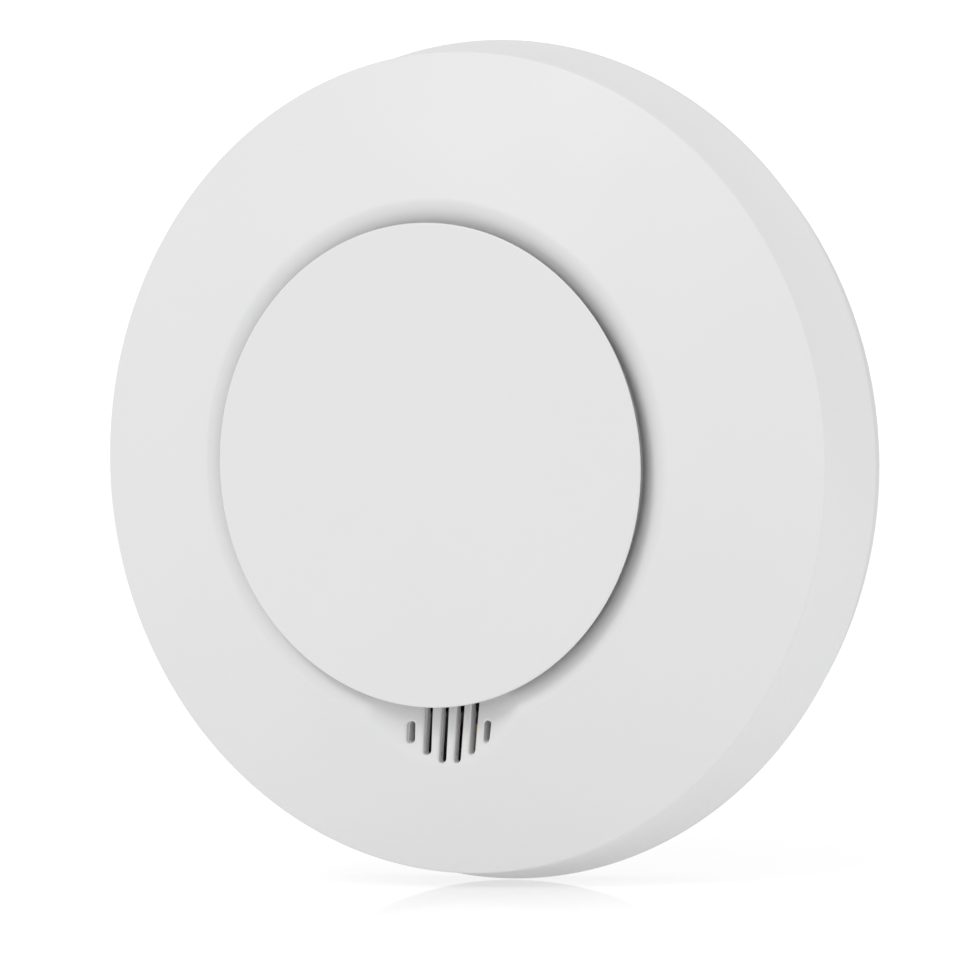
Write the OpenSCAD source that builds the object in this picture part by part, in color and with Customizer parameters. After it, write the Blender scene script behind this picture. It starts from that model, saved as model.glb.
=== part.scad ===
// Slim wall or ceiling smoke alarm on a bayonet mounting plate.
// Every module is drawn in face coordinates: x to the right, y up and z the height.
// on_wall() stands the plate against the wall, which is the plane Y = 0, with its face towards -Y.
// on_plate() does the same for the alarm, whose own zero height lies stand_off away from the wall.

/* [Casing] */
// Radius of the front rim, where the side wall meets the face
front_r = 58; // [56:0.5:60]
// How much wider the rear edge is than the front rim
flare = 2; // [1:0.25:3]
// Distance from the wall to the plane that the alarm's own heights are counted from
stand_off = 3.4; // [2:0.1:3.5]
// Height of the rear edge
rear_h = 2; // [1.8:0.1:2.2]
// Height of the front rim
front_h = 14.4; // [14:0.1:15]
// Rise of the sloping face from the front rim to the crest round the button
face_rise = 6.3; // [6:0.1:7]
// Outward bulge of the sloping face
face_bulge = 0.2; // [0:0.05:0.4]
// Radius of the crest round the button
crest_r = 37.5; // [37:0.1:38]
// Radius of the rounding from the crest down under the button
bowl_round = 7.4; // [6:0.2:8]
// Wall thickness of the front cover
cover_wall = 1.9; // [1.6:0.1:2.2]

/* [Test button] */
// Radius of the round button that covers the smoke inlet
button_r = 33.9; // [33:0.1:34.5]
// Height of the button's face above the crest
button_proud = 1.6; // [1.4:0.1:2]
// Thickness of the button's plate
button_t = 1.7; // [1.5:0.1:1.8]
// Travel of the button
button_travel = 0.6; // [0.4:0.1:0.8]
// Radius of the ring on which the button's posts stand
post_ring_r = 27.2; // [26.8:0.1:27.4]

/* [Sound outlet] */
// Width of each slot
slot_w = 1.1; // [1:0.05:1.5]
// Distance from one slot to the next
slot_pitch = 2.45; // [2.3:0.05:2.6]
// Radius of the shallow valley that the slots lie in
valley_r = 25; // [20:1:30]
// Height of the valley's lowest line, under the tips of the slots
valley_h = 19.4; // [19:0.05:19.6]
// Angle at which the valley falls towards the button
valley_fall = 13; // [8:0.5:14]

/* [Mounting plate] */
// Radius of the mounting plate's rim, which shows behind the alarm
plate_r = 57.9; // [56:0.1:58]
// Thickness of the mounting plate
plate_t = 2.2; // [2:0.1:2.3]
// Distance between the centres of two opposite screw slots
screw_spacing = 54; // [50:1:54]
// Width of each screw slot
screw_slot_w = 4.5; // [4:0.1:5]
// End-to-end length of each screw slot
screw_slot_l = 9.5; // [8:0.5:10]
// Turn that frees the alarm from the plate, in degrees
twist = 18; // [15:1:18]

/* [Inside] */
// Height of the circuit board's back face
board_h = 7.2; // [7:0.1:7.4]
// Thickness of the circuit board
board_t = 1.4; // [1:0.1:1.6]
// Radius of the smoke chamber
chamber_r = 22.4; // [21.5:0.1:22.4]
// Height of the top of the smoke chamber
chamber_top = 19.2; // [18.5:0.1:19.4]
// Diameter of each lithium cell
cell_d = 10.5; // [10:0.1:10.6]
// Length of each lithium cell
cell_l = 44.5; // [43:0.5:45]
// Distance from the centre line to each cell's axis
cell_x = 42; // [41.5:0.1:42.5]

/* [Hidden] */
$fn = 96;
gap = 0.5;                          // clearance between neighbouring pieces

face_slope = atan(face_rise / (front_r - crest_r));
crest_h = front_h + face_rise;      // height of the crest
button_face = crest_h + button_proud;
button_back = button_face - button_t;
board_top = board_h + board_t;
floor_t = 1.3;                      // wall of the rear housing
outer_floor = 2.6;                  // back face of the rear housing round the edge
inner_floor = 5;                    // back face of the rear housing over the screw heads
step_r = 35.5;                      // radius of that raised middle
housing_r = 55.6;                   // radius of the rear housing's wall
housing_lip_r = 57.5;               // radius of its floor, which fills the cover's flared edge
well_floor = 11.9;                  // front face of the floor round the smoke chamber
well_back = 10.5;                   // back face of that floor
well_hole_r = chamber_r + gap;
crest_round = 1.5;                  // rounding of the crest itself
rim_round = 0.35;                   // rounding of the front rim
rear_round = 0.5;                   // rounding of the rear edge

plate_rim_t = 1.6;                  // wall of the plate's rim
plate_gap = 0.4;                    // between the plate's rim and the alarm's rear edge
hook_r = 42.5;                      // radius at which the plate's hooks stand
hook_angles = [68, 128, 248, 308];
hook_post_w = 1.8;
hook_head_w = 4.6;
hook_head_h = 4.3;                  // underside of the hooks' heads
hook_head_t = 1.2;
hook_post_a = 3.2;                  // half angle of a hook's post
hook_head_a = 4;                    // half angle of a hook's head

seam_h = 6.3;                       // top of the rear housing's wall and screw posts
cover_screw_r = 52;
cover_screw_angles = [43, 137, 223, 317];
board_screw_x = 29;
board_screw_y = 22;

guide_angles = [90, 210, 330];      // the button's three guide posts
guide_post_r = 1.5;
press_angle = 150;                  // the post that works the switch
press_post_r = 1.7;
light_angle = 30;
reed_angle = 245;

sounder_y = -44.2;
sounder_r = 10.2;
sounder_base = 8.9;
sounder_top = 13.2;
horn_back = -35;                    // inner end of the sound duct
horn_front = -43.4;                 // outer end of the sound duct
horn_half_w = 8.2;
pad_h = 16.5;                       // back face of the pad that the slots are cut in
slot_root = -33.2;                  // where the long slots start, under the button
slot_tip_long = -41.9;
slot_tip_mid = -40.7;
slot_short = [-39, -36];

cell_h = outer_floor + floor_t + 0.2 + cell_d / 2;

// A 2D arc as points
function arc(c, r, from, to, steps) =
    [for (i = [0:steps]) let (a = from + (to - from) * i / steps) [c[0] + r * cos(a), c[1] + r * sin(a)]];
// Points on a shallow outward bow between two points
function bow(p, q, rise, steps) =
    [for (i = [0:steps])
        let (t = i / steps, d = q - p, n = [d[1], -d[0]] / norm(d))
        p + d * t + n * rise * 4 * t * (1 - t)];
function unit(a) = [cos(a), sin(a)];

// Stand a piece, drawn in face coordinates, against the wall or on the plate
module on_wall() { rotate([90, 0, 0]) children(); }

module on_plate() { on_wall() translate([0, 0, stand_off]) children(); }

// Places children on a ring round the face's centre
module ring_of(radius, angles) {
    for (a = angles) rotate([0, 0, a]) translate([radius, 0, 0]) children();
}

module tube(outer, inner, from, to) {
    difference() {
        translate([0, 0, from]) cylinder(r = outer, h = to - from);
        translate([0, 0, from - 1]) cylinder(r = inner, h = to - from + 2);
    }
}

module disc(radius, from, to) { translate([0, 0, from]) cylinder(r = radius, h = to - from); }

module block(from, to) { translate(from) cube(to - from); }

// A piece of a flat ring
module sector(inner, outer, from_angle, to_angle, from, to) {
    rotate([0, 0, from_angle])
        rotate_extrude(angle = to_angle - from_angle)
            translate([inner, from]) square([outer - inner, to - from]);
}

// A slot with round ends along y, from one end to the other
module slot(x, y0, y1, w, from, to) {
    translate([x, y0 + w / 2, from]) cylinder(d = w, h = to - from, $fn = 32);
    translate([x, y1 - w / 2, from]) cylinder(d = w, h = to - from, $fn = 32);
    block([x - w / 2, y0 + w / 2, from], [x + w / 2, y1 - w / 2, to]);
}

// ---- the mounting plate ----

module hook(angle) {
    sector(hook_r - hook_post_w / 2, hook_r + hook_post_w / 2,
           angle - hook_post_a, angle + hook_post_a, plate_t - 0.5, stand_off + hook_head_h + 0.2);
    sector(hook_r - hook_head_w / 2, hook_r + hook_head_w / 2,
           angle - hook_head_a, angle + hook_head_a, stand_off + hook_head_h, stand_off + hook_head_h + hook_head_t);
}

magnet_r = 3;
magnet_t = 1.4;
magnet_ring_r = post_ring_r;

module mounting_plate() {
    color("whitesmoke") on_wall() {
        difference() {
            disc(plate_r, 0, plate_t);
            // four screw slots that point at the centre
            for (a = [0, 90, 180, 270])
                rotate([0, 0, a])
                    slot(0, screw_spacing / 2 - screw_slot_l / 2, screw_spacing / 2 + screw_slot_l / 2,
                         screw_slot_w, -1, plate_t + 1);
            // windows under the hooks' heads, on both sides of each post
            for (a = hook_angles) {
                sector(hook_r - hook_head_w / 2 - 0.2, hook_r - hook_post_w / 2 - 0.15,
                       a - hook_head_a - 0.5, a + hook_head_a + 0.5, -1, plate_t + 1);
                sector(hook_r + hook_post_w / 2 + 0.15, hook_r + hook_head_w / 2 + 0.2,
                       a - hook_head_a - 0.5, a + hook_head_a + 0.5, -1, plate_t + 1);
            }
            rotate([0, 0, reed_angle]) translate([magnet_ring_r, 0, 0])
                disc(magnet_r + 0.05, plate_t - magnet_t, plate_t + 1);
        }
        for (a = hook_angles) hook(a);
        // the rim behind the alarm's rear edge, and a raised ring that stiffens the middle
        tube(plate_r, plate_r - plate_rim_t, plate_t - 0.5, stand_off + rear_h - plate_gap);
        tube(15, 13.5, plate_t - 0.5, plate_t + 1.2);
    }
}

module start_magnet() {
    color("dimgray") on_wall()
        rotate([0, 0, reed_angle]) translate([magnet_ring_r, 0, 0])
            disc(magnet_r, plate_t - magnet_t, plate_t);
}

// ---- the casing ----

side_top = front_h - rim_round * sin(90 - face_slope);
side_h = side_top - rear_h - rear_round;
flare_r = (side_h * side_h + flare * flare) / (2 * flare);
flare_a = asin(side_h / flare_r);
rim_centre = [front_r - rim_round, side_top];
face_start = rim_centre + rim_round * unit(90 - face_slope);
face_end = [crest_r, crest_h];
crest_centre = face_end - crest_round * unit(90 - face_slope);
bowl_lean = 10;                     // slope at which the bowl leaves the crest
bowl_end = 58;                      // slope at which it meets the ledge
bowl_start = crest_centre + crest_round * unit(90 + bowl_lean);
bowl_centre = bowl_start - bowl_round * unit(90 + bowl_lean);
bowl_foot = bowl_centre + bowl_round * unit(90 + bowl_end);
collar_r = 30.3;                    // inner edge of the ledge, where the collar goes down to the well
collar_wall = 1.6;

// The cover's outer line, from the rear edge to the foot of the bowl under the button
outer_line = concat(
    arc([front_r + flare - rear_round, rear_h + rear_round], rear_round, -90, 0, 4),
    arc([front_r + flare_r, side_top], flare_r, 180 + flare_a, 180, 14),
    arc(rim_centre, rim_round, 0, 90 - face_slope, 5),
    bow(face_start, face_end, face_bulge, 12),
    arc(crest_centre, crest_round, 90 - face_slope, 90 + bowl_lean, 6),
    arc(bowl_centre, bowl_round, 90 + bowl_lean, 90 + bowl_end, 16));

inner_front_h = front_h - cover_wall / cos(face_slope) + cover_wall * tan(face_slope);

module cover_section() {
    polygon(concat(
        outer_line,
        [[collar_r, bowl_foot[1]], [collar_r, well_floor], [well_hole_r, well_floor], [well_hole_r, well_back],
         [collar_r + collar_wall, well_back], [collar_r + collar_wall, bowl_foot[1] - collar_wall]],
        arc(bowl_centre, bowl_round - cover_wall, 90 + bowl_end, 90 - face_slope, 12),
        [[front_r - cover_wall, inner_front_h],
         [front_r - cover_wall, rear_h + side_h / 2],
         [front_r + flare - cover_wall, rear_h]]));
}

// Everything behind the cover's outer face, to trim what is added inside it
module cover_fill() {
    rotate_extrude($fn = 180)
        polygon(concat(outer_line, [[collar_r, bowl_foot[1]], [collar_r, rear_h], [0, rear_h]]));
}

module guide_holes(radius, angles, from, to) {
    ring_of(post_ring_r, angles) disc(radius, from, to);
}

module front_cover() {
    color("white") on_plate() difference() {
        union() {
            rotate_extrude($fn = 180) cover_section();
            intersection() {
                cover_fill();
                union() {
                    // the pad behind the sound slots
                    block([-9, -44, pad_h], [9, -collar_r - 1, crest_h]);
                    ring_of(cover_screw_r, cover_screw_angles) disc(2.7, seam_h + 0.1, crest_h);
                }
            }
        }
        // the valley that the slots lie in, which falls towards the button
        translate([0, slot_tip_long, valley_h + valley_r]) rotate([90 - valley_fall, 0, 0])
            translate([0, 0, -18]) cylinder(r = valley_r, h = 30, $fn = 160);
        // the sound slots
        for (side = [-1, 1]) {
            slot(side * slot_pitch / 2, slot_tip_long, slot_root, slot_w, pad_h - 6, crest_h);
            slot(side * slot_pitch * 1.5, slot_tip_mid, slot_root, slot_w, pad_h - 6, crest_h);
            slot(side * slot_pitch * 2.5, slot_short[0], slot_short[1], slot_w, pad_h - 6, crest_h);
        }
        // holes for the button's posts and for the light pipe
        guide_holes(guide_post_r + 0.3, guide_angles, well_back - 1, well_floor + 1);
        guide_holes(press_post_r + 0.4, [press_angle], well_back - 1, well_floor + 1);
        guide_holes(1.55, [light_angle], well_back - 1, well_floor + 1);
        // pilot holes for the screws that join the two halves
        ring_of(cover_screw_r, cover_screw_angles) disc(1, 6, 12.2);
    }
}

module cell_saddle(side, y) {
    difference() {
        block([side * cell_x - 6, y - 1, outer_floor + 0.5], [side * cell_x + 6, y + 1, cell_h - 1.5]);
        translate([side * cell_x, 0, cell_h]) rotate([90, 0, 0])
            cylinder(d = cell_d + 0.3, h = 60, center = true);
    }
}

module rear_housing() {
    color("white") on_plate() difference() {
        union() {
            // a stepped floor with a low wall round it
            rotate_extrude($fn = 180) polygon([
                [0, inner_floor], [step_r, inner_floor], [step_r, outer_floor], [housing_lip_r, outer_floor],
                [housing_lip_r - 0.4, outer_floor + floor_t], [housing_r, outer_floor + floor_t],
                [housing_r, seam_h], [housing_r - floor_t, seam_h],
                [housing_r - floor_t, outer_floor + floor_t], [step_r + floor_t, outer_floor + floor_t],
                [step_r + floor_t, inner_floor + floor_t], [0, inner_floor + floor_t]]);
            ring_of(cover_screw_r, cover_screw_angles) disc(3.5, outer_floor, seam_h);
            for (x = [-1, 1], y = [-1, 1])
                translate([x * board_screw_x, y * board_screw_y, 0]) disc(2.5, outer_floor + 0.5, board_h);
            for (side = [-1, 1], y = [-13, 13]) cell_saddle(side, y);
        }
        // bayonet openings: a wide part to enter by and a narrow part to lock in
        for (a = hook_angles) {
            sector(hook_r - hook_head_w / 2 - 0.5, hook_r + hook_head_w / 2 + 0.5,
                   a - twist - 6.5, a - twist + 6.5, 1, outer_floor + floor_t + 1);
            sector(hook_r - hook_post_w / 2 - 0.4, hook_r + hook_post_w / 2 + 0.4,
                   a - twist, a + hook_post_a + 0.6, 1, outer_floor + floor_t + 1);
        }
        // counterbored holes for the screws that join the two halves
        ring_of(cover_screw_r, cover_screw_angles) {
            disc(2.8, 1, 4.6);
            disc(1.4, 4, 7);
        }
        for (x = [-1, 1], y = [-1, 1])
            translate([x * board_screw_x, y * board_screw_y, 0]) disc(0.9, outer_floor + 1, board_h + 1);
    }
}

// A self-tapping screw with a pan head and a cross recess, its head's underside at height 0
module screw(head_r, head_t, shank_r, length) {
    difference() {
        union() {
            translate([0, 0, -head_t]) cylinder(r1 = head_r * 0.8, r2 = head_r, h = head_t);
            disc(shank_r, -0.1, length - shank_r);
            translate([0, 0, length - shank_r]) cylinder(r1 = shank_r, r2 = 0.15, h = shank_r);
        }
        for (turn = [0, 90]) rotate([0, 0, turn])
            block([-head_r * 0.6, -0.25, -head_t - 1], [head_r * 0.6, 0.25, -head_t + 0.7]);
    }
}

module cover_screws() {
    color("silver") on_plate()
        ring_of(cover_screw_r, cover_screw_angles) translate([0, 0, 4.6]) screw(2.6, 1.7, 1, 7.2);
}

// ---- the circuit board and what stands on it ----

module circuit_board() {
    color("seagreen") on_plate() difference() {
        disc(48, board_h, board_top);
        // cut away round the two cells
        for (side = [-1, 1])
            block([side > 0 ? cell_x - 6.6 : -60, -24, board_h - 1], [side > 0 ? 60 : 6.6 - cell_x, 24, board_top + 1]);
        guide_holes(3, guide_angles, board_h - 1, board_top + 1);
        for (x = [-1, 1], y = [-1, 1])
            translate([x * board_screw_x, y * board_screw_y, 0]) disc(1.2, board_h - 1, board_top + 1);
    }
}

module board_screws() {
    color("silver") on_plate()
        for (x = [-1, 1], y = [-1, 1])
            translate([x * board_screw_x, y * board_screw_y, board_top]) mirror([0, 0, 1]) screw(2, 1.4, 0.9, 4.6);
}

module controller_chip() {
    color("black") on_plate() {
        block([13, 35.5, board_top + 0.2], [20, 42.5, board_top + 1.4]);
        for (i = [-2.5:1:2.5], side = [-1, 1])
            block([16.5 + i - 0.2, 39 + side * 4.4 - 0.9, board_top], [16.5 + i + 0.2, 39 + side * 4.4 + 0.9, board_top + 0.4]);
    }
}

module boost_coil() {
    color("dimgray") on_plate() translate([-16.5, 39, board_top]) {
        disc(3.6, 0, 0.9);
        disc(2, 0.8, 3.4);
        disc(3.6, 3.2, 4);
        // the copper winding between the core's two flanges
        tube(3.2, 1.9, 0.9, 3.2);
    }
}

module storage_capacitor() {
    color("silver") on_plate() translate([0, 41, board_top]) {
        block([-3.4, -3.4, 0], [3.4, 3.4, 0.9]);
        disc(3.1, 0.8, 5.4);
    }
}

module chip_part(x, y, turn) {
    translate([x, y, board_top]) rotate([0, 0, turn]) block([-1, -0.6, 0], [1, 0.6, 0.6]);
}

module chip_parts() {
    color("tan") on_plate() {
        for (i = [-2:2]) chip_part(6.5 + i * 0.1, 37 + i * 2.2, 0);
        for (i = [-2:2]) chip_part(-8, 37.5 + i * 2.2, 0);
        for (i = [0:3], side = [-1, 1]) chip_part(side * (16 + i * 3), -32, 90);
        for (i = [0:2]) chip_part(25 + i * 2.8, 31, 90);
        for (i = [0:2]) chip_part(-25 - i * 2.8, 31, 90);
    }
}

// ---- the optical smoke chamber ----

emitter_angle = 205;
receiver_angle = 340;
optic_h = 13.6;                     // height of the optical axis off the wall
optic_r = 2.5;
optic_in = 8.5;                     // inner end of each optics block
optic_out = 17;                     // outer end of each optics block
base_plate_top = board_top + 1.2;
vane_in = 17.6;

module optics_block(angle) {
    rotate([0, 0, angle]) difference() {
        block([optic_in, -4, base_plate_top - 0.5], [optic_out, 4, optic_h + 3.2]);
        translate([optic_in - 1, 0, optic_h]) rotate([0, 90, 0]) cylinder(r = optic_r + 0.05, h = 10.5);
        // a narrow slit of an outlet, so that light leaves as a beam
        translate([optic_in - 2, -1.2, optic_h - 1.2]) cube([4, 2.4, 2.4]);
    }
}

module chamber_base() {
    color("#202020") on_plate() {
        disc(chamber_r, board_top, base_plate_top);
        tube(chamber_r - 0.4, chamber_r - 1.4, base_plate_top - 0.5, base_plate_top + 1);
        optics_block(emitter_angle);
        optics_block(receiver_angle);
    }
}

// How far an angle is from another, the short way round
function apart(a, b) = abs(((a - b + 540) % 360) - 180);

module chamber_cap() {
    cap_back = chamber_top - 1;
    color("#202020") on_plate() {
        disc(chamber_r, cap_back, chamber_top);
        // bent vanes that let smoke in and keep light out
        for (a = [0:15:345])
            if (apart(a, emitter_angle) > 17 && apart(a, receiver_angle) > 17)
                rotate([0, 0, a]) translate([vane_in + 1.6, 0, base_plate_top + 1.2])
                    for (bend = [-1, 1])
                        rotate([0, 0, bend * 38]) translate([-0.3, -0.45, 0])
                            cube([2.4, 0.9, cap_back - base_plate_top - 1]);
    }
}

module insect_mesh() {
    color("silver") on_plate() difference() {
        tube(chamber_r - 0.05, chamber_r - 0.35, base_plate_top, chamber_top - 1);
        for (a = [0:10:350], row = [0:2]) rotate([0, 0, a])
            block([chamber_r - 2, -1.5, base_plate_top + 1.4 + row * 2.3],
                  [chamber_r + 2, 1.5, base_plate_top + 3.3 + row * 2.3]);
    }
}

module optic(angle, lens) {
    start = optic_in + 2.6 + lens;
    leg_end = optic_out + 0.9 - start;
    rotate([0, 0, angle]) translate([start, 0, optic_h]) {
        rotate([0, 90, 0]) cylinder(r = optic_r, h = optic_out - 0.6 - start);
        if (lens > 0)
            intersection() {
                sphere(r = optic_r);
                translate([-10, -5, -5]) cube([10.1, 10, 10]);
            }
        // two legs bent down to the board
        for (side = [-1, 1]) {
            block([leg_end - 1.6, side * 1.27 - 0.25, -0.25], [leg_end, side * 1.27 + 0.25, 0.25]);
            block([leg_end - 0.5, side * 1.27 - 0.25, base_plate_top - optic_h],
                  [leg_end, side * 1.27 + 0.25, 0.25]);
        }
    }
}

module infrared_emitter() { color("#30304a") on_plate() optic(emitter_angle, 2.5); }

module photodiode() { color("#303030") on_plate() optic(receiver_angle, 0); }

// ---- the sounder ----

module sounder_housing() {
    color("dimgray") on_plate() {
        translate([0, sounder_y, 0]) {
            tube(sounder_r, sounder_r - 1.1, sounder_base, sounder_top - 0.5);
            tube(sounder_r - 0.5, sounder_r - 1.9, sounder_base + 1.5, sounder_base + 2.2);
        }
        difference() {
            translate([0, sounder_y, 0]) disc(sounder_r, sounder_top - 1, sounder_top);
            translate([0, (horn_back + horn_front) / 2, 0]) disc(2.6, 1, 30);
        }
        // the square duct that leads the sound to the slots
        difference() {
            block([-horn_half_w, horn_front, sounder_top - 0.5], [horn_half_w, horn_back, pad_h - 0.4]);
            block([1 - horn_half_w, horn_front + 1, sounder_top - 1.5], [horn_half_w - 1, horn_back - 1, pad_h]);
        }
    }
}

module piezo_disc() {
    color("goldenrod") on_plate() translate([0, sounder_y, 0]) {
        disc(sounder_r - 1.2, sounder_base + 1.2, sounder_base + 1.45);
        disc(6.5, sounder_base + 1, sounder_base + 1.25);
    }
}

module sounder_gasket() {
    color("#303030") on_plate() difference() {
        block([-horn_half_w, horn_front, pad_h - 0.4], [horn_half_w, horn_back, pad_h]);
        block([1 - horn_half_w, horn_front + 1, pad_h - 2], [horn_half_w - 1, horn_back - 1, pad_h + 1]);
    }
}

module sounder_contacts() {
    color("gold") on_plate()
        for (x = [-3, 3]) translate([x, -42, 0]) {
            disc(1, board_top, board_top + 0.5);
            disc(0.6, board_top + 0.4, sounder_base + 1);
        }
}

// ---- the power supply ----

module cell(side) {
    nub_l = 0.8;
    translate([side * cell_x, -side * cell_l / 2, cell_h]) rotate([side > 0 ? -90 : 90, 0, 0]) {
        cylinder(d = cell_d, h = cell_l - nub_l);
        cylinder(d = 3.8, h = cell_l);
    }
}

module left_cell() { color("silver") on_plate() cell(-1); }

module right_cell() { color("silver") on_plate() cell(1); }

// A nickel strip from a cell's end to the board
module cell_tab(side, end) {
    tab_t = 0.3;
    near = end * cell_l / 2;
    far = end * (cell_l / 2 + tab_t);
    x0 = side * 36.4;
    x1 = side * 43.6;
    block([min(x0, x1), min(near, far), board_top], [max(x0, x1), max(near, far), cell_h + 1.8]);
    foot = side * 39.2;
    foot_y = end * 26;
    block([min(x0, foot), min(near, foot_y), board_top], [max(x0, foot), max(near, foot_y), board_top + tab_t]);
}

module cell_tabs() {
    color("lightgray") on_plate()
        for (side = [-1, 1], end = [-1, 1]) cell_tab(side, end);
}

// ---- lamp and switches ----

module status_led() {
    color("lightyellow") on_plate() rotate([0, 0, light_angle])
        translate([post_ring_r, 0, 0]) block([-1, -0.6, board_top], [1, 0.6, board_top + 0.7]);
}

module light_pipe() {
    color("aliceblue", 0.5) on_plate() rotate([0, 0, light_angle]) translate([post_ring_r, 0, 0]) {
        disc(2.2, board_top + 0.9, well_back);
        disc(1.5, well_back - 0.1, well_floor + 3);
    }
}

module reed_switch() {
    color("darkseagreen") on_plate() rotate([0, 0, reed_angle]) translate([post_ring_r, 0, board_top + 0.9]) {
        rotate([90, 0, 0]) cylinder(r = 0.85, h = 10, center = true);
        for (end = [-1, 1])
            block([-0.25, end * 6 - 1.2, -0.9], [0.25, end * 6 + 1.2, 0.1]);
    }
}

switch_top = board_top + 1.6;
plunger_top = switch_top + button_travel + 0.45;

module switch_body() {
    color("#303030") on_plate() rotate([0, 0, press_angle]) translate([post_ring_r, 0, 0]) difference() {
        block([-3, -3, board_top], [3, 3, switch_top]);
        disc(1.5, switch_top - button_travel - 0.6, switch_top + 1);
    }
}

module switch_plunger() {
    color("white") on_plate() rotate([0, 0, press_angle]) translate([post_ring_r, 0, 0])
        disc(1.4, switch_top - 0.5, plunger_top);
}

// ---- the test button ----

spring_r = 2.1;
spring_wire_r = 0.25;
spring_turns = 5;
spring_sides = 6;
spring_steps = 14;                  // rings in each turn

module coil_spring(from, to) {
    rings = spring_turns * spring_steps;
    points = [for (i = [0:rings], j = [0:spring_sides - 1])
        let (a = 360 * i / spring_steps, b = 360 * j / spring_sides,
             radius = spring_r + spring_wire_r * cos(b),
             z = from + spring_wire_r + (to - from - 2 * spring_wire_r) * i / rings + spring_wire_r * sin(b))
        [radius * cos(a), radius * sin(a), z]];
    faces = concat(
        [[for (j = [0:spring_sides - 1]) j]],
        [for (i = [0:rings - 1], j = [0:spring_sides - 1])
            let (k = (j + 1) % spring_sides, p = i * spring_sides)
            [p + j, p + spring_sides + j, p + spring_sides + k, p + k]],
        [[for (j = [spring_sides - 1:-1:0]) rings * spring_sides + j]]);
    polyhedron(points = points, faces = faces, convexity = 10);
}

module return_springs() {
    color("silver") on_plate()
        ring_of(post_ring_r, guide_angles) coil_spring(well_floor, button_back);
}

module test_button() {
    edge = 0.25;
    undercut = 1.2;                 // how far the button's side leans in towards its back
    tip_h = well_back - 0.1;
    color("white") on_plate() {
        rotate_extrude($fn = 180) polygon(concat(
            [[0, button_back], [button_r - undercut, button_back]],
            arc([button_r - edge, button_face - edge], edge, 0, 90, 5),
            [[0, button_face]]));
        ring_of(post_ring_r, guide_angles) {
            disc(guide_post_r, tip_h - 0.2, button_back + 0.5);
            translate([0, 0, tip_h - 2]) cylinder(r1 = 1.2, r2 = 2.2, h = 2);
        }
        ring_of(post_ring_r, [press_angle])
            disc(press_post_r, plunger_top + 0.05, button_back + 0.5);
    }
}

mounting_plate();
start_magnet();
front_cover();
rear_housing();
cover_screws();
circuit_board();
board_screws();
controller_chip();
boost_coil();
storage_capacitor();
chip_parts();
chamber_base();
chamber_cap();
insect_mesh();
infrared_emitter();
photodiode();
sounder_housing();
piezo_disc();
sounder_gasket();
sounder_contacts();
left_cell();
right_cell();
cell_tabs();
status_led();
light_pipe();
reed_switch();
switch_body();
return_springs();
switch_plunger();
test_button();
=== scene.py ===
"""A slim white smoke alarm on its mounting plate, standing on its edge on a glossy pale floor.

Lengths are in millimetres until they reach Blender, where MM turns them into metres.
A place on the alarm is written as in its drawing: a radius from the alarm's axis and a height.
Heights are counted from the alarm's own zero plane, which stands STAND_OFF away from the wall.
The wall is the plane Y = 0 and the alarm faces -Y.
"""
import math

import bmesh
import bpy
from mathutils import Matrix, Vector


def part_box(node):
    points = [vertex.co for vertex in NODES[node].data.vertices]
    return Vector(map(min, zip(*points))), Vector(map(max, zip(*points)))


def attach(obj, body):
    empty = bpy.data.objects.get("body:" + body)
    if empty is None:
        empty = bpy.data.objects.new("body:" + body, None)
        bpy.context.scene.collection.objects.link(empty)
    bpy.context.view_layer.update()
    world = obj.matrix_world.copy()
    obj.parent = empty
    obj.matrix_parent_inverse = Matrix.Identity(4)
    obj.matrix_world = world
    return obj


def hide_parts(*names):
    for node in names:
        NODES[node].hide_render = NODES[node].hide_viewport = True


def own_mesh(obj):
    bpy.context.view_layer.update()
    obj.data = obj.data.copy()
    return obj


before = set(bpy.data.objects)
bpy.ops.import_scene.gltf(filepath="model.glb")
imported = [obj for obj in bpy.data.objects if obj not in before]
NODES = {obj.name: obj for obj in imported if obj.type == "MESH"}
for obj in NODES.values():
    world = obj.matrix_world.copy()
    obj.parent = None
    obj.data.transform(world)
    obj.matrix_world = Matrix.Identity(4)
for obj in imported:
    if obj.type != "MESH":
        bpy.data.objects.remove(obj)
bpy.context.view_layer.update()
MM = 0.001

# ---- driving sizes, all in millimetres ----

COVER_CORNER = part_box("front_cover")[1] / MM
REAR_RADIUS = COVER_CORNER.x
REAR_HEIGHT = 2.0
STAND_OFF = -COVER_CORNER.y - REAR_HEIGHT
FLARE = 2.0                     # how much wider the rear edge is than the front rim
FRONT_RADIUS = REAR_RADIUS - FLARE
FRONT_HEIGHT = 14.4
FACE_RISE = 6.3                 # from the front rim to the crest round the button
CREST_RADIUS = 37.5
FACE_BULGE = 0.2
RIM_ROUND = 0.35
REAR_ROUND = 0.5
CREST_ROUND = 1.5
BOWL_ROUND = 7.4                # from the crest down under the button
BOWL_LEAN = 10                  # slope in degrees at which the bowl leaves the crest
BOWL_END = 58                   # and at which it meets the ledge
COVER_WALL = 1.9
COLLAR_WALL = 1.6
LEDGE_RADIUS = 30.3             # inner edge of the ledge under the button
WELL_FLOOR = 11.9               # front face of the floor round the smoke chamber
WELL_BACK = 10.5
WELL_HOLE = 22.9
POST_RING = 27.2
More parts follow.
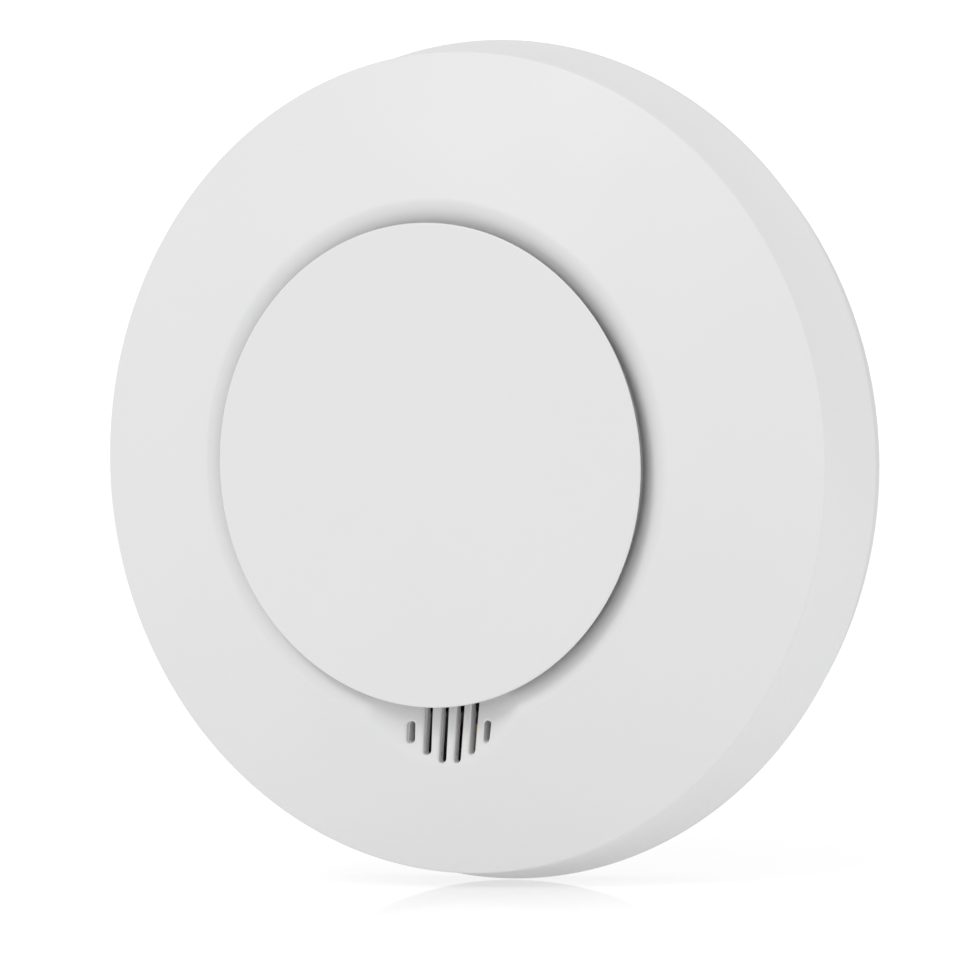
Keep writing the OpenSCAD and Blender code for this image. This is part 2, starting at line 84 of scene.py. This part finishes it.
# direction in degrees and radius of each hole for a post or for the light pipe
POST_HOLES = ((90, 1.8), (210, 1.8), (330, 1.8), (150, 2.1), (30, 1.55))
SCREW_RING = 52
SCREW_DIRECTIONS = (43, 137, 223, 317)
SCREW_POST = 2.7
SCREW_HOLE = 1
SLOT_WIDTH = 1.1
SLOT_PITCH = 2.45
SLOT_ROOT = -33.2
SLOT_TIPS = (-41.9, -40.7)      # of the middle slots and of their neighbours
SHORT_SLOT = (-39.0, -36.0)     # both ends of the outermost slots
VALLEY_RADIUS = 25.0
VALLEY_HEIGHT = 19.4            # the valley's lowest line, under the slots' tips
VALLEY_FALL = math.radians(13)  # slope of that line towards the button
VALLEY_SOFTNESS = 0.35          # how far the valley's edge is rounded over
SLOT_WALL = 1.4                 # thickness of the wall that the slots are cut through
# two x, two z and two heights of each step of the pad behind the slots
PAD_BLOCKS = (((-9, 9), (-44, -33.4), 16.5, 18.1), ((-8.7, 8.7), (-40.5, -34), 17, 19.2))
PAD_MIDDLE = -38.6              # z of the middle of its hollowed back
SLOT_ROUNDING = 0.4             # rounding of the slots' outer edges
TURN_STEPS = 384


# ---- points and outlines ----

def along(centre, radius, degrees):
    """The point at a distance from a centre, in a direction given in degrees."""
    angle = math.radians(degrees)
    return (centre[0] + radius * math.cos(angle), centre[1] + radius * math.sin(angle))


def arc(centre, radius, start, end, steps):
    """Points on an arc, from one angle to another, in degrees."""
    return [along(centre, radius, start + (end - start) * i / steps) for i in range(steps + 1)]


def stepped(start, end, steps, bulge=0.0):
    """Points on a line with a slight outward bow."""
    run, rise = end[0] - start[0], end[1] - start[1]
    length = math.hypot(run, rise)
    points = []
    for i in range(steps + 1):
        t = i / steps
        bow = bulge * 4 * t * (1 - t)
        points.append((start[0] + run * t + rise / length * bow,
                       start[1] + rise * t - run / length * bow))
    return points


# ---- modelling steps, as at the bench ----

def deselect():
    if bpy.context.object and bpy.context.object.mode != "OBJECT":
        bpy.ops.object.mode_set(mode="OBJECT")
    bpy.ops.object.select_all(action="DESELECT")


def take(piece):
    deselect()
    bpy.context.view_layer.objects.active = piece
    piece.select_set(True)


def settle(piece, name):
    """Names a finished piece and puts its place into its mesh."""
    take(piece)
    bpy.ops.object.transform_apply(location=True, rotation=True, scale=True)
    piece.name = piece.data.name = name
    return piece


def smooth(piece, degrees=30):
    take(piece)
    bpy.ops.object.shade_smooth_by_angle(angle=math.radians(degrees))


def turned(name, line, steps=TURN_STEPS, closed=False):
    """Turns an outline of (radius, height) points round the alarm's axis, as on a lathe."""
    deselect()
    first = line[0]
    bpy.ops.mesh.primitive_plane_add(size=MM, location=(first[0] * MM, -first[1] * MM, 0))
    piece = bpy.context.object
    bpy.ops.object.transform_apply(location=True, rotation=True, scale=True)
    bpy.ops.object.mode_set(mode="EDIT")
    bpy.ops.mesh.select_all(action="SELECT")
    bpy.ops.mesh.merge(type="CENTER")
    for here, there in zip(line, line[1:]):
        step = ((there[0] - here[0]) * MM, (here[1] - there[1]) * MM, 0)
        bpy.ops.mesh.extrude_region_move(TRANSFORM_OT_translate={"value": step})
    if closed:
        ends = bmesh.from_edit_mesh(piece.data)
        for vertex in ends.verts:
            vertex.select_set(len(vertex.link_edges) == 1)
        ends.select_flush_mode()
        bmesh.update_edit_mesh(piece.data)
        bpy.ops.mesh.edge_face_add()
    bpy.ops.mesh.select_all(action="SELECT")
    bpy.ops.mesh.spin(steps=steps, angle=2 * math.pi, center=(0, 0, 0), axis=(0, 1, 0))
    bpy.ops.mesh.select_all(action="SELECT")
    bpy.ops.mesh.remove_doubles(threshold=0.002 * MM)
    bpy.ops.mesh.normals_make_consistent(inside=False)
    bpy.ops.object.mode_set(mode="OBJECT")
    return settle(piece, name)


def rod(radius, x, z, low, high, sides=48):
    """A round bar from one height to another."""
    deselect()
    bpy.ops.mesh.primitive_cylinder_add(
        vertices=sides, radius=radius * MM, depth=(high - low) * MM,
        location=(x * MM, -(low + high) / 2 * MM, z * MM), rotation=(math.pi / 2, 0, 0))
    return settle(bpy.context.object, "bar")


def slab(x, z, low, high):
    """A block between two x, two z and two heights."""
    deselect()
    bpy.ops.mesh.primitive_cube_add(
        size=1,
        location=((x[0] + x[1]) / 2 * MM, -(low + high) / 2 * MM, (z[0] + z[1]) / 2 * MM),
        scale=((x[1] - x[0]) * MM, (high - low) * MM, (z[1] - z[0]) * MM))
    return settle(bpy.context.object, "block")


def slot_bar(x, z0, z1, width, low, high):
    """A bar with round ends, which cuts a slot."""
    bar = rod(width / 2, x, (z0 + z1) / 2, low, high, 32)
    stretch(bar, (z0 + z1) / 2, (z1 - z0 - width) / 2)
    return bar


def stretch(piece, middle, shift):
    """Draws a round piece out along z, so that it gets round ends and straight sides."""
    for vertex in piece.data.vertices:
        vertex.co.z += (shift if vertex.co.z > (middle + 0.0001) * MM else -shift) * MM


def slot_flare(x, z0, z1, width, rounding):
    """A cutter that rounds the outer edge of a slot, tilted as the valley is at that place."""
    half = width / 2
    tip, top = -rounding - 0.3, 0.6
    line = ([(0, tip), (half, tip)]
            + arc((half + rounding, -rounding), rounding, 180, 90, 6)
            + [(half + rounding, top), (0, top)])
    flare = turned("flare", line, 32)
    stretch(flare, 0, (z1 - z0 - width) / 2)
    middle = (z0 + z1) / 2
    flare.rotation_euler = (-VALLEY_FALL, 0, -math.asin(x / VALLEY_RADIUS))
    flare.location = (x * MM, -valley_floor(x, middle) * MM, middle * MM)
    return settle(flare, "flare")


def joined(pieces):
    """Several pieces as one mesh."""
    deselect()
    for piece in pieces:
        piece.select_set(True)
    bpy.context.view_layer.objects.active = pieces[0]
    bpy.ops.object.join()
    return pieces[0]


def combine(piece, tool, operation):
    """Adds a tool to a piece or cuts it away, and discards the tool."""
    take(piece)
    step = piece.modifiers.new("cut", "BOOLEAN")
    step.operation = operation
    step.object = tool
    step.solver = "EXACT"
    bpy.ops.object.modifier_apply(modifier=step.name)
    bpy.data.objects.remove(tool)


# ---- the front cover ----

def cover_outline():
    """The cover's section: its outer line from the rear edge to the well, then back inside."""
    slope = math.degrees(math.atan(FACE_RISE / (FRONT_RADIUS - CREST_RADIUS)))
    side_top = FRONT_HEIGHT - RIM_ROUND * math.sin(math.radians(90 - slope))
    side = side_top - REAR_HEIGHT - REAR_ROUND
    flare_radius = (side * side + FLARE * FLARE) / (2 * FLARE)
    flare_angle = math.degrees(math.asin(side / flare_radius))
    rim_centre = (FRONT_RADIUS - RIM_ROUND, side_top)
    face_start = along(rim_centre, RIM_ROUND, 90 - slope)
    face_end = (CREST_RADIUS, FRONT_HEIGHT + FACE_RISE)
    crest_centre = along(face_end, -CREST_ROUND, 90 - slope)
    bowl_start = along(crest_centre, CREST_ROUND, 90 + BOWL_LEAN)
    bowl_centre = along(bowl_start, -BOWL_ROUND, 90 + BOWL_LEAN)
    foot = along(bowl_centre, BOWL_ROUND, 90 + BOWL_END)
    tilt = math.radians(slope)
    inner_front = FRONT_HEIGHT + COVER_WALL * (math.tan(tilt) - 1 / math.cos(tilt))
    inner_radius = FRONT_RADIUS - COVER_WALL
    flare_centre = (FRONT_RADIUS + flare_radius, side_top)
    outer = (
        arc((REAR_RADIUS - REAR_ROUND, REAR_HEIGHT + REAR_ROUND), REAR_ROUND, -90, 0, 6)
        + arc(flare_centre, flare_radius, 180 + flare_angle, 180, 18)[1:]
        + arc(rim_centre, RIM_ROUND, 0, 90 - slope, 8)[1:]
        + stepped(face_start, face_end, 28, FACE_BULGE)[1:]
        + arc(crest_centre, CREST_ROUND, 90 - slope, 90 + BOWL_LEAN, 8)[1:]
        + arc(bowl_centre, BOWL_ROUND, 90 + BOWL_LEAN, 90 + BOWL_END, 22)[1:])
    inner = (
        [(LEDGE_RADIUS, foot[1]), (LEDGE_RADIUS, WELL_FLOOR),
         (WELL_HOLE, WELL_FLOOR), (WELL_HOLE, WELL_BACK),
         (LEDGE_RADIUS + COLLAR_WALL, WELL_BACK),
         (LEDGE_RADIUS + COLLAR_WALL, foot[1] - COLLAR_WALL)]
        + arc(bowl_centre, BOWL_ROUND - COVER_WALL, 90 + BOWL_END, 90 - slope, 10)[1:]
        + [(inner_radius, inner_front), (inner_radius, REAR_HEIGHT + side / 2),
           (REAR_RADIUS - COVER_WALL, REAR_HEIGHT)])
    return outer + inner


def valley_floor(x, z):
    """Height of the shallow valley round the slots."""
    line = VALLEY_HEIGHT + (SLOT_TIPS[0] - z) * math.tan(VALLEY_FALL)
    return line + VALLEY_RADIUS - math.sqrt(max(VALLEY_RADIUS ** 2 - x * x, 1.0))


def soft_lower(a, b, softness):
    """The lower of two heights, rounded over where they meet."""
    mix = max(0.0, min(1.0, 0.5 + 0.5 * (b - a) / softness))
    return b + (a - b) * mix - softness * mix * (1 - mix)


def press_valley(cover):
    """Presses the valley into the outer face, with a soft edge."""
    outer_skin = 17.0           # below this height a vertex belongs to the side or the inside
    for vertex in cover.data.vertices:
        x, height, z = vertex.co.x / MM, -vertex.co.y / MM, vertex.co.z / MM
        near = abs(x) < 16 and -48 < z < -30
        if near and height > outer_skin and vertex.normal.y < 0:
            vertex.co.y = -soft_lower(height, valley_floor(x, z), VALLEY_SOFTNESS) * MM


def make_cover():
    """The casing's front, with the slots, the screw posts and the holes in its well."""
    cover = turned("casing_cover", cover_outline(), closed=True)
    # the stepped pad behind the slots and the four screw posts
    for block in PAD_BLOCKS:
        combine(cover, slab(*block), "UNION")
    screw_places = [along((0, 0), SCREW_RING, degrees) for degrees in SCREW_DIRECTIONS]
    for x, z in screw_places:
        combine(cover, rod(SCREW_POST, x, z, 6.4, 15, 32), "UNION")
    press_valley(cover)
    # the pad's back follows the valley, so that the wall at the slots is thin
    back = slab((-7.2, 7.2), (-4.2, 4.2), -3.5, 0)
    back.rotation_euler.x = -VALLEY_FALL
    back.location = (0, (SLOT_WALL - valley_floor(0, PAD_MIDDLE)) * MM, PAD_MIDDLE * MM)
    combine(cover, settle(back, "back"), "DIFFERENCE")
    cutters, flares = [], []
    slots = ((0.5, SLOT_TIPS[0], SLOT_ROOT), (1.5, SLOT_TIPS[1], SLOT_ROOT), (2.5, *SHORT_SLOT))
    for side in (-1, 1):
        for step, low_end, high_end in slots:
            x = side * step * SLOT_PITCH
            cutters.append(slot_bar(x, low_end, high_end, SLOT_WIDTH, 10.8, 24))
            flares.append(slot_flare(x, low_end, high_end, SLOT_WIDTH, SLOT_ROUNDING))
    for degrees, radius in POST_HOLES:
        x, z = along((0, 0), POST_RING, degrees)
        cutters.append(rod(radius, x, z, WELL_BACK - 1, WELL_FLOOR + 1, 32))
    for x, z in screw_places:
        cutters.append(rod(SCREW_HOLE, x, z, 6, 12.2, 24))
    combine(cover, joined(cutters), "DIFFERENCE")
    combine(cover, joined(flares), "DIFFERENCE")
    cover.location.y = -STAND_OFF * MM
    settle(cover, "casing_cover")
    smooth(cover)
    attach(cover, "alarm")
    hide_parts("front_cover")
    return cover


# ---- materials ----

PATCH_RANGE = (0.35, 0.65)      # the share of the slow noise that drives colour and polish
ROUGHNESS_SPAN = 0.06           # how much the polish varies over a piece
BUMP_DEPTH = 0.05
WAVINESS = 0.3                  # the slow unevenness, next to the fine grain
COLOUR_DRIFT = 0.4              # how far a colour drifts towards its second colour
PAINTED_GAP_LIGHT = (0.9, 0.9, 0.9, 1)       # painted light: a paler white that brightens the shaded smoke gap
COLOUR_RESULT = 2               # the mix node's sockets that carry a colour
COLOUR_A, COLOUR_B = 6, 7


def add_node(tree, kind, **settings):
    """A shader node, with its sockets and its properties set by name."""
    node = tree.nodes.new(kind)
    for key, value in settings.items():
        if key in node.inputs:
            node.inputs[key].default_value = value
        else:
            setattr(node, key, value)
    return node


def new_group(name, inputs, outputs):
    """An empty shader group with number inputs, its colour inputs given as tuples."""
    group = bpy.data.node_groups.new(name, "ShaderNodeTree")
    for title, value in inputs:
        kind = "NodeSocketColor" if isinstance(value, tuple) else "NodeSocketFloat"
        group.interface.new_socket(title, in_out="INPUT", socket_type=kind).default_value = value
    for title, kind in outputs:
        group.interface.new_socket(title, in_out="OUTPUT", socket_type=kind)
    return group, group.nodes.new("NodeGroupInput"), group.nodes.new("NodeGroupOutput")


def make_grain_group():
    """The fine spark-eroded grain of a mould, and the slow unevenness under it."""
    group, given, out = new_group(
        "mould_grain", [("Grain size", 0.18), ("Waviness", WAVINESS)],
        [("Height", "NodeSocketFloat"), ("Patch", "NodeSocketFloat")])
    link = group.links.new
    place = add_node(group, "ShaderNodeTexCoord")
    per_metre = add_node(group, "ShaderNodeMath", operation="DIVIDE")
    per_metre.inputs[0].default_value = 1000
    link(given.outputs["Grain size"], per_metre.inputs[1])
    fine = add_node(group, "ShaderNodeTexNoise", Detail=3.0, Roughness=0.6)
    link(place.outputs["Object"], fine.inputs["Vector"])
    link(per_metre.outputs[0], fine.inputs["Scale"])
    slow = add_node(group, "ShaderNodeTexNoise", Scale=55.0, Detail=2.0, Roughness=0.4)
    link(place.outputs["Object"], slow.inputs["Vector"])
    wavy = add_node(group, "ShaderNodeMath", operation="MULTIPLY")
    link(slow.outputs["Fac"], wavy.inputs[0])
    link(given.outputs["Waviness"], wavy.inputs[1])
    total = add_node(group, "ShaderNodeMath", operation="ADD")
    link(fine.outputs["Fac"], total.inputs[0])
    link(wavy.outputs[0], total.inputs[1])
    link(total.outputs[0], out.inputs["Height"])
    link(slow.outputs["Fac"], out.inputs["Patch"])
    return group


def make_tone_group():
    """Lets a base colour drift a little from place to place."""
    group, given, out = new_group(
        "tone_drift",
        [("Colour", (0.8, 0.8, 0.8, 1.0)), ("Second colour", (0.7, 0.7, 0.7, 1.0)),
         ("Patch", 0.5), ("Strength", COLOUR_DRIFT)],
        [("Colour", "NodeSocketColor")])
    link = group.links.new
    spread = add_node(group, "ShaderNodeMapRange")
    spread.inputs["From Min"].default_value, spread.inputs["From Max"].default_value = PATCH_RANGE
    link(given.outputs["Patch"], spread.inputs["Value"])
    link(given.outputs["Strength"], spread.inputs["To Max"])
    blend = add_node(group, "ShaderNodeMix", data_type="RGBA")
    link(spread.outputs["Result"], blend.inputs["Factor"])
    link(given.outputs["Colour"], blend.inputs[COLOUR_A])
    link(given.outputs["Second colour"], blend.inputs[COLOUR_B])
    link(blend.outputs[COLOUR_RESULT], out.inputs["Colour"])
    return group


GRAIN = make_grain_group()
TONE = make_tone_group()


def moulded(name, colour, second, roughness, grain=0.18, bump=0.05,
            metallic=0.0, coat=0.0, alpha=1.0):
    """A material with a fine surface grain, a slight drift of colour and an uneven polish."""
    material = bpy.data.materials.new(name)
    material.use_nodes = True
    tree = material.node_tree
    shader = tree.nodes["Principled BSDF"]
    link = tree.links.new
    grain_node = add_node(tree, "ShaderNodeGroup", node_tree=GRAIN)
    grain_node.inputs["Grain size"].default_value = grain
    tone_node = add_node(tree, "ShaderNodeGroup", node_tree=TONE)
    tone_node.inputs["Colour"].default_value = (*colour, 1)
    tone_node.inputs["Second colour"].default_value = (*second, 1)
    link(grain_node.outputs["Patch"], tone_node.inputs["Patch"])
    link(tone_node.outputs["Colour"], shader.inputs["Base Color"])
    polish = add_node(tree, "ShaderNodeMapRange")
    polish.inputs["From Min"].default_value, polish.inputs["From Max"].default_value = PATCH_RANGE
    polish.inputs["To Min"].default_value = roughness - ROUGHNESS_SPAN / 2
    polish.inputs["To Max"].default_value = roughness + ROUGHNESS_SPAN / 2
    link(grain_node.outputs["Patch"], polish.inputs["Value"])
    link(polish.outputs["Result"], shader.inputs["Roughness"])
    relief = add_node(tree, "ShaderNodeBump")
    relief.inputs["Strength"].default_value = bump
    relief.inputs["Distance"].default_value = BUMP_DEPTH * MM
    link(grain_node.outputs["Height"], relief.inputs["Height"])
    link(relief.outputs["Normal"], shader.inputs["Normal"])
    shader.inputs["Metallic"].default_value = metallic
    shader.inputs["Coat Weight"].default_value = coat
    shader.inputs["Alpha"].default_value = alpha
    shader.inputs["IOR"].default_value = 1.5
    return material


def paint_gap_light(material, outside, inside, by_radius):
    """Paints light into the smoke gap: makes a plastic paler there, so that the gap's shade looks
    lighter.

    The change runs from one place to another, in metres: a radius, or a distance along Y."""
    tree = material.node_tree
    link = tree.links.new
    shader = tree.nodes["Principled BSDF"]
    colour = shader.inputs["Base Color"].links[0].from_socket
    place = add_node(tree, "ShaderNodeTexCoord")
    only = add_node(tree, "ShaderNodeVectorMath", operation="MULTIPLY")
    only.inputs[1].default_value = (1, 0, 1) if by_radius else (0, 1, 0)
    link(place.outputs["Object"], only.inputs[0])
    size = add_node(tree, "ShaderNodeVectorMath", operation="LENGTH")
    link(only.outputs[0], size.inputs[0])
    share = add_node(tree, "ShaderNodeMapRange")
    share.inputs["From Min"].default_value = inside
    share.inputs["From Max"].default_value = outside
    share.inputs["To Min"].default_value = 1.0
    share.inputs["To Max"].default_value = 0.0
    link(size.outputs["Value"], share.inputs["Value"])
    blend = add_node(tree, "ShaderNodeMix", data_type="RGBA")
    link(share.outputs["Result"], blend.inputs["Factor"])
    link(colour, blend.inputs[COLOUR_A])
    # painted light: the pale colour brightens the shaded gap
    blend.inputs[COLOUR_B].default_value = PAINTED_GAP_LIGHT
    link(blend.outputs[COLOUR_RESULT], shader.inputs["Base Color"])


def paint(piece, material):
    piece.data.materials.clear()
    piece.data.materials.append(material)


WHITE = (0.66, 0.66, 0.664)
WHITE_SHADE = (0.65, 0.65, 0.654)

white_plastic = moulded("white_plastic", WHITE, WHITE_SHADE, 0.5, bump=0.12)
button_plastic = moulded("button_plastic", WHITE, WHITE_SHADE, 0.52, bump=0.12)
BUTTON_FACE = -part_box("test_button")[0].y
# painted light in the smoke gap: where the paler plastic begins and where it is fully pale, in
# metres
BUTTON_GAP_LIGHT_EDGE = (BUTTON_FACE - 0.0002, BUTTON_FACE - 0.0005)
BOWL_GAP_LIGHT_EDGE = (0.0342, 0.0324)
paint_gap_light(white_plastic, *BOWL_GAP_LIGHT_EDGE, by_radius=True)
paint_gap_light(button_plastic, *BUTTON_GAP_LIGHT_EDGE, by_radius=False)

FINISHES = {
    "mounting_plate": moulded(
        "plate_plastic", (0.6, 0.6, 0.598), (0.58, 0.58, 0.575), 0.55, 0.25, bump=0.2),
    "rear_housing": white_plastic,
    "test_button": button_plastic,
    "front_cover": white_plastic,
    "switch_plunger": button_plastic,
    "start_magnet": moulded(
        "magnet", (0.5, 0.5, 0.52), (0.42, 0.42, 0.43), 0.35, 0.1, metallic=1.0),
    "circuit_board": moulded(
        "solder_resist", (0.02, 0.16, 0.06), (0.015, 0.12, 0.05), 0.3, 0.6, bump=0.25, coat=0.4),
    "controller_chip": moulded(
        "chip_epoxy", (0.02, 0.02, 0.022), (0.03, 0.03, 0.032), 0.6, 0.08, bump=0.3),
    "boost_coil": moulded(
        "ferrite", (0.05, 0.05, 0.052), (0.08, 0.07, 0.065), 0.7, 0.12, bump=0.4),
    "storage_capacitor": moulded(
        "can_metal", (0.8, 0.8, 0.82), (0.7, 0.7, 0.72), 0.25, 0.1, metallic=1.0),
    "chip_parts": moulded("ceramic", (0.42, 0.28, 0.16), (0.5, 0.34, 0.2), 0.5, 0.1),
    "chamber_base": moulded(
        "chamber_black", (0.012, 0.012, 0.013), (0.018, 0.018, 0.019), 0.6, 0.2, bump=0.4),
    "insect_mesh": moulded(
        "mesh_steel", (0.5, 0.5, 0.5), (0.4, 0.4, 0.4), 0.4, 0.1, metallic=1.0),
    "infrared_emitter": moulded(
        "emitter_resin", (0.03, 0.03, 0.07), (0.02, 0.02, 0.05), 0.12, 0.4, bump=0.02),
    "photodiode": moulded(
        "receiver_resin", (0.015, 0.013, 0.015), (0.02, 0.02, 0.02), 0.15, 0.4, bump=0.02),
    "sounder_housing": moulded(
        "sounder_plastic", (0.045, 0.045, 0.047), (0.06, 0.06, 0.06), 0.5, 0.2, bump=0.2),
    "piezo_disc": moulded(
        "brass", (0.75, 0.55, 0.25), (0.68, 0.5, 0.22), 0.3, 0.1, metallic=1.0),
    "sounder_contacts": moulded(
        "gold_plate", (0.9, 0.65, 0.25), (0.85, 0.6, 0.22), 0.25, 0.1, metallic=1.0),
    "sounder_gasket": moulded(
        "foam", (0.03, 0.03, 0.03), (0.05, 0.05, 0.05), 0.9, 0.35, bump=0.8),
    "left_cell": moulded(
        "cell_sleeve", (0.12, 0.2, 0.32), (0.1, 0.17, 0.28), 0.3, 0.3, bump=0.05, coat=0.3),
    "cell_tabs": moulded(
        "nickel", (0.66, 0.64, 0.6), (0.58, 0.56, 0.52), 0.35, 0.12, metallic=1.0),
    "status_led": moulded("led_resin", (0.8, 0.78, 0.6), (0.75, 0.72, 0.55), 0.3, 0.2),
    "light_pipe": moulded(
        "clear_plastic", (0.85, 0.88, 0.9), (0.8, 0.84, 0.87), 0.12, 0.4, bump=0.02, alpha=0.5),
    "reed_switch": moulded(
        "reed_glass", (0.35, 0.5, 0.42), (0.3, 0.45, 0.38), 0.1, 0.4, bump=0.02),
    "switch_body": moulded(
        "switch_plastic", (0.03, 0.03, 0.035), (0.04, 0.04, 0.045), 0.5, 0.15),
    "return_springs": moulded(
        "spring_wire", (0.6, 0.6, 0.61), (0.5, 0.5, 0.51), 0.25, 0.08, metallic=1.0),
    "cover_screws": moulded(
        "zinc_plate", (0.62, 0.63, 0.65), (0.55, 0.56, 0.57), 0.3, 0.1, metallic=1.0),
}
SAME_FINISH = {
    "chamber_cap": "chamber_base",
    "right_cell": "left_cell",
    "board_screws": "cover_screws",
}

for node_name, node_object in NODES.items():
    paint(node_object, FINISHES[SAME_FINISH.get(node_name, node_name)])

cover = make_cover()
paint(cover, white_plastic)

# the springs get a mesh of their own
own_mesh(NODES["return_springs"])


# ---- floor, light and camera ----

BACKDROP = 1.1                  # how bright the studio looks to the camera
AMBIENT = 0.965                 # how brightly it lights the alarm
OVERHEAD = 0.88                 # its brightness straight overhead, as a share
FLOOR_GAP = 0.0001              # between the alarm's edge and the floor, in metres
FLOOR_GLOW = 0.69
FLOOR_GREY = 0.36
FLOOR_GLOSS = 0.33              # share of gloss where the alarm stands
GLOSS_REACH = 0.095             # how far from there it fades out, in metres


def make_floor():
    """A glossy white floor under the rear edge. It glows as well, so that no horizon shows."""
    deselect()
    bpy.ops.mesh.primitive_plane_add(size=6, location=(0, 0, -REAR_RADIUS * MM - FLOOR_GAP))
    floor = settle(bpy.context.object, "floor")
    material = bpy.data.materials.new("floor_gloss")
    material.use_nodes = True
    tree = material.node_tree
    tree.nodes.clear()
    link = tree.links.new
    glow = add_node(tree, "ShaderNodeEmission", Strength=FLOOR_GLOW)
    glow.inputs["Color"].default_value = (1, 1, 1, 1)
    matt = add_node(tree, "ShaderNodeBsdfDiffuse")
    matt.inputs["Color"].default_value = (FLOOR_GREY, FLOOR_GREY, FLOOR_GREY, 1)
    white = add_node(tree, "ShaderNodeAddShader")
    gloss = add_node(tree, "ShaderNodeBsdfGlossy", Roughness=0.04)
    gloss.inputs["Color"].default_value = (1, 1, 1, 1)
    mix = add_node(tree, "ShaderNodeMixShader")
    out = add_node(tree, "ShaderNodeOutputMaterial")
    # the gloss fades out a short way from the place where the alarm stands
    place = add_node(tree, "ShaderNodeTexCoord")
    level = add_node(tree, "ShaderNodeVectorMath", operation="MULTIPLY")
    level.inputs[1].default_value = (1, 1, 0)
    reach = add_node(tree, "ShaderNodeVectorMath", operation="LENGTH")
    fade = add_node(tree, "ShaderNodeMapRange", interpolation_type="SMOOTHSTEP")
    fade.inputs["From Min"].default_value = 0.0
    fade.inputs["From Max"].default_value = GLOSS_REACH
    fade.inputs["To Min"].default_value = FLOOR_GLOSS
    fade.inputs["To Max"].default_value = 0.0
    link(place.outputs["Object"], level.inputs[0])
    link(level.outputs[0], reach.inputs[0])
    link(reach.outputs["Value"], fade.inputs["Value"])
    link(fade.outputs["Result"], mix.inputs[0])
    link(glow.outputs[0], white.inputs[0])
    link(matt.outputs[0], white.inputs[1])
    link(white.outputs[0], mix.inputs[1])
    link(gloss.outputs[0], mix.inputs[2])
    link(mix.outputs[0], out.inputs["Surface"])
    paint(floor, material)


def make_world():
    """A white studio with an even backdrop. The light on the alarm is weaker from overhead."""
    world = bpy.data.worlds.new("studio")
    bpy.context.scene.world = world
    world.use_nodes = True
    tree = world.node_tree
    backdrop = tree.nodes["Background"]
    backdrop.inputs["Color"].default_value = (1, 1, 1, 1)
    link = tree.links.new
    direction = add_node(tree, "ShaderNodeTexCoord")
    parts = add_node(tree, "ShaderNodeSeparateXYZ")
    link(direction.outputs["Generated"], parts.inputs[0])
    height = add_node(tree, "ShaderNodeMapRange")
    height.inputs["From Min"].default_value = 0.35
    height.inputs["From Max"].default_value = 1.0
    height.inputs["To Min"].default_value = AMBIENT
    height.inputs["To Max"].default_value = AMBIENT * OVERHEAD
    link(parts.outputs["Z"], height.inputs["Value"])
    seen = add_node(tree, "ShaderNodeLightPath")
    choice = add_node(tree, "ShaderNodeMix", data_type="FLOAT")
    link(seen.outputs["Is Camera Ray"], choice.inputs[0])
    link(height.outputs["Result"], choice.inputs[2])
    choice.inputs[3].default_value = BACKDROP
    link(choice.outputs[0], backdrop.inputs["Strength"])


def soft_light(name, size, power, place):
    """A large lamp, unseen itself, that points at the alarm."""
    target = Vector((0, -0.01, 0))
    data = bpy.data.lights.new(name, "AREA")
    data.shape = "RECTANGLE"
    data.size, data.size_y = size
    data.energy = power
    lamp = bpy.data.objects.new(name, data)
    bpy.context.scene.collection.objects.link(lamp)
    lamp.location = place
    lamp.rotation_euler = (target - Vector(place)).to_track_quat("-Z", "Y").to_euler()
    lamp.visible_camera = False


CAMERA_AZIMUTH = math.radians(29.39)
CAMERA_ELEVATION = math.radians(1.22)
CAMERA_ROLL = math.radians(-2.7)
CAMERA_DISTANCE = 12.0          # in front rim radii
CAMERA_SLIDE = (0.0766, -0.0569)  # sideways and upwards, in front rim radii
FOCAL_RATIO = 5.08239           # focal length over the sensor's width
SENSOR_WIDTH = 36               # millimetres


def make_camera():
    """Looks at the front rim from the right, rolled so that the sound outlet sits lower right."""
    radius = FRONT_RADIUS * MM
    back = Vector((math.sin(CAMERA_AZIMUTH) * math.cos(CAMERA_ELEVATION),
                   -math.cos(CAMERA_AZIMUTH) * math.cos(CAMERA_ELEVATION),
                   math.sin(CAMERA_ELEVATION)))
    right = (-back).cross(Vector((0, 0, 1))).normalized()
    up = right.cross(-back)
    rolled_right = right * math.cos(CAMERA_ROLL) + up * math.sin(CAMERA_ROLL)
    rolled_up = -right * math.sin(CAMERA_ROLL) + up * math.cos(CAMERA_ROLL)
    target = Vector((0, -(FRONT_HEIGHT + STAND_OFF) * MM, 0))
    slide = right * CAMERA_SLIDE[0] + up * CAMERA_SLIDE[1]
    place = target + back * CAMERA_DISTANCE * radius + slide * radius
    data = bpy.data.cameras.new("camera")
    data.sensor_width = SENSOR_WIDTH
    data.lens = SENSOR_WIDTH * FOCAL_RATIO
    data.clip_start, data.clip_end = 0.01, 20
    camera = bpy.data.objects.new("camera", data)
    bpy.context.scene.collection.objects.link(camera)
    turn = Matrix((rolled_right, rolled_up, back)).transposed().to_4x4()
    camera.matrix_world = Matrix.Translation(place) @ turn
    bpy.context.scene.camera = camera


make_floor()
make_world()
soft_light("key", (0.35, 0.35), 2.4, (-0.25, -0.7, 0.72))
soft_light("side", (0.3, 0.3), 0.8, (0.9, -0.08, 0.25))
make_camera()
bpy.context.scene.view_settings.view_transform = "Standard"
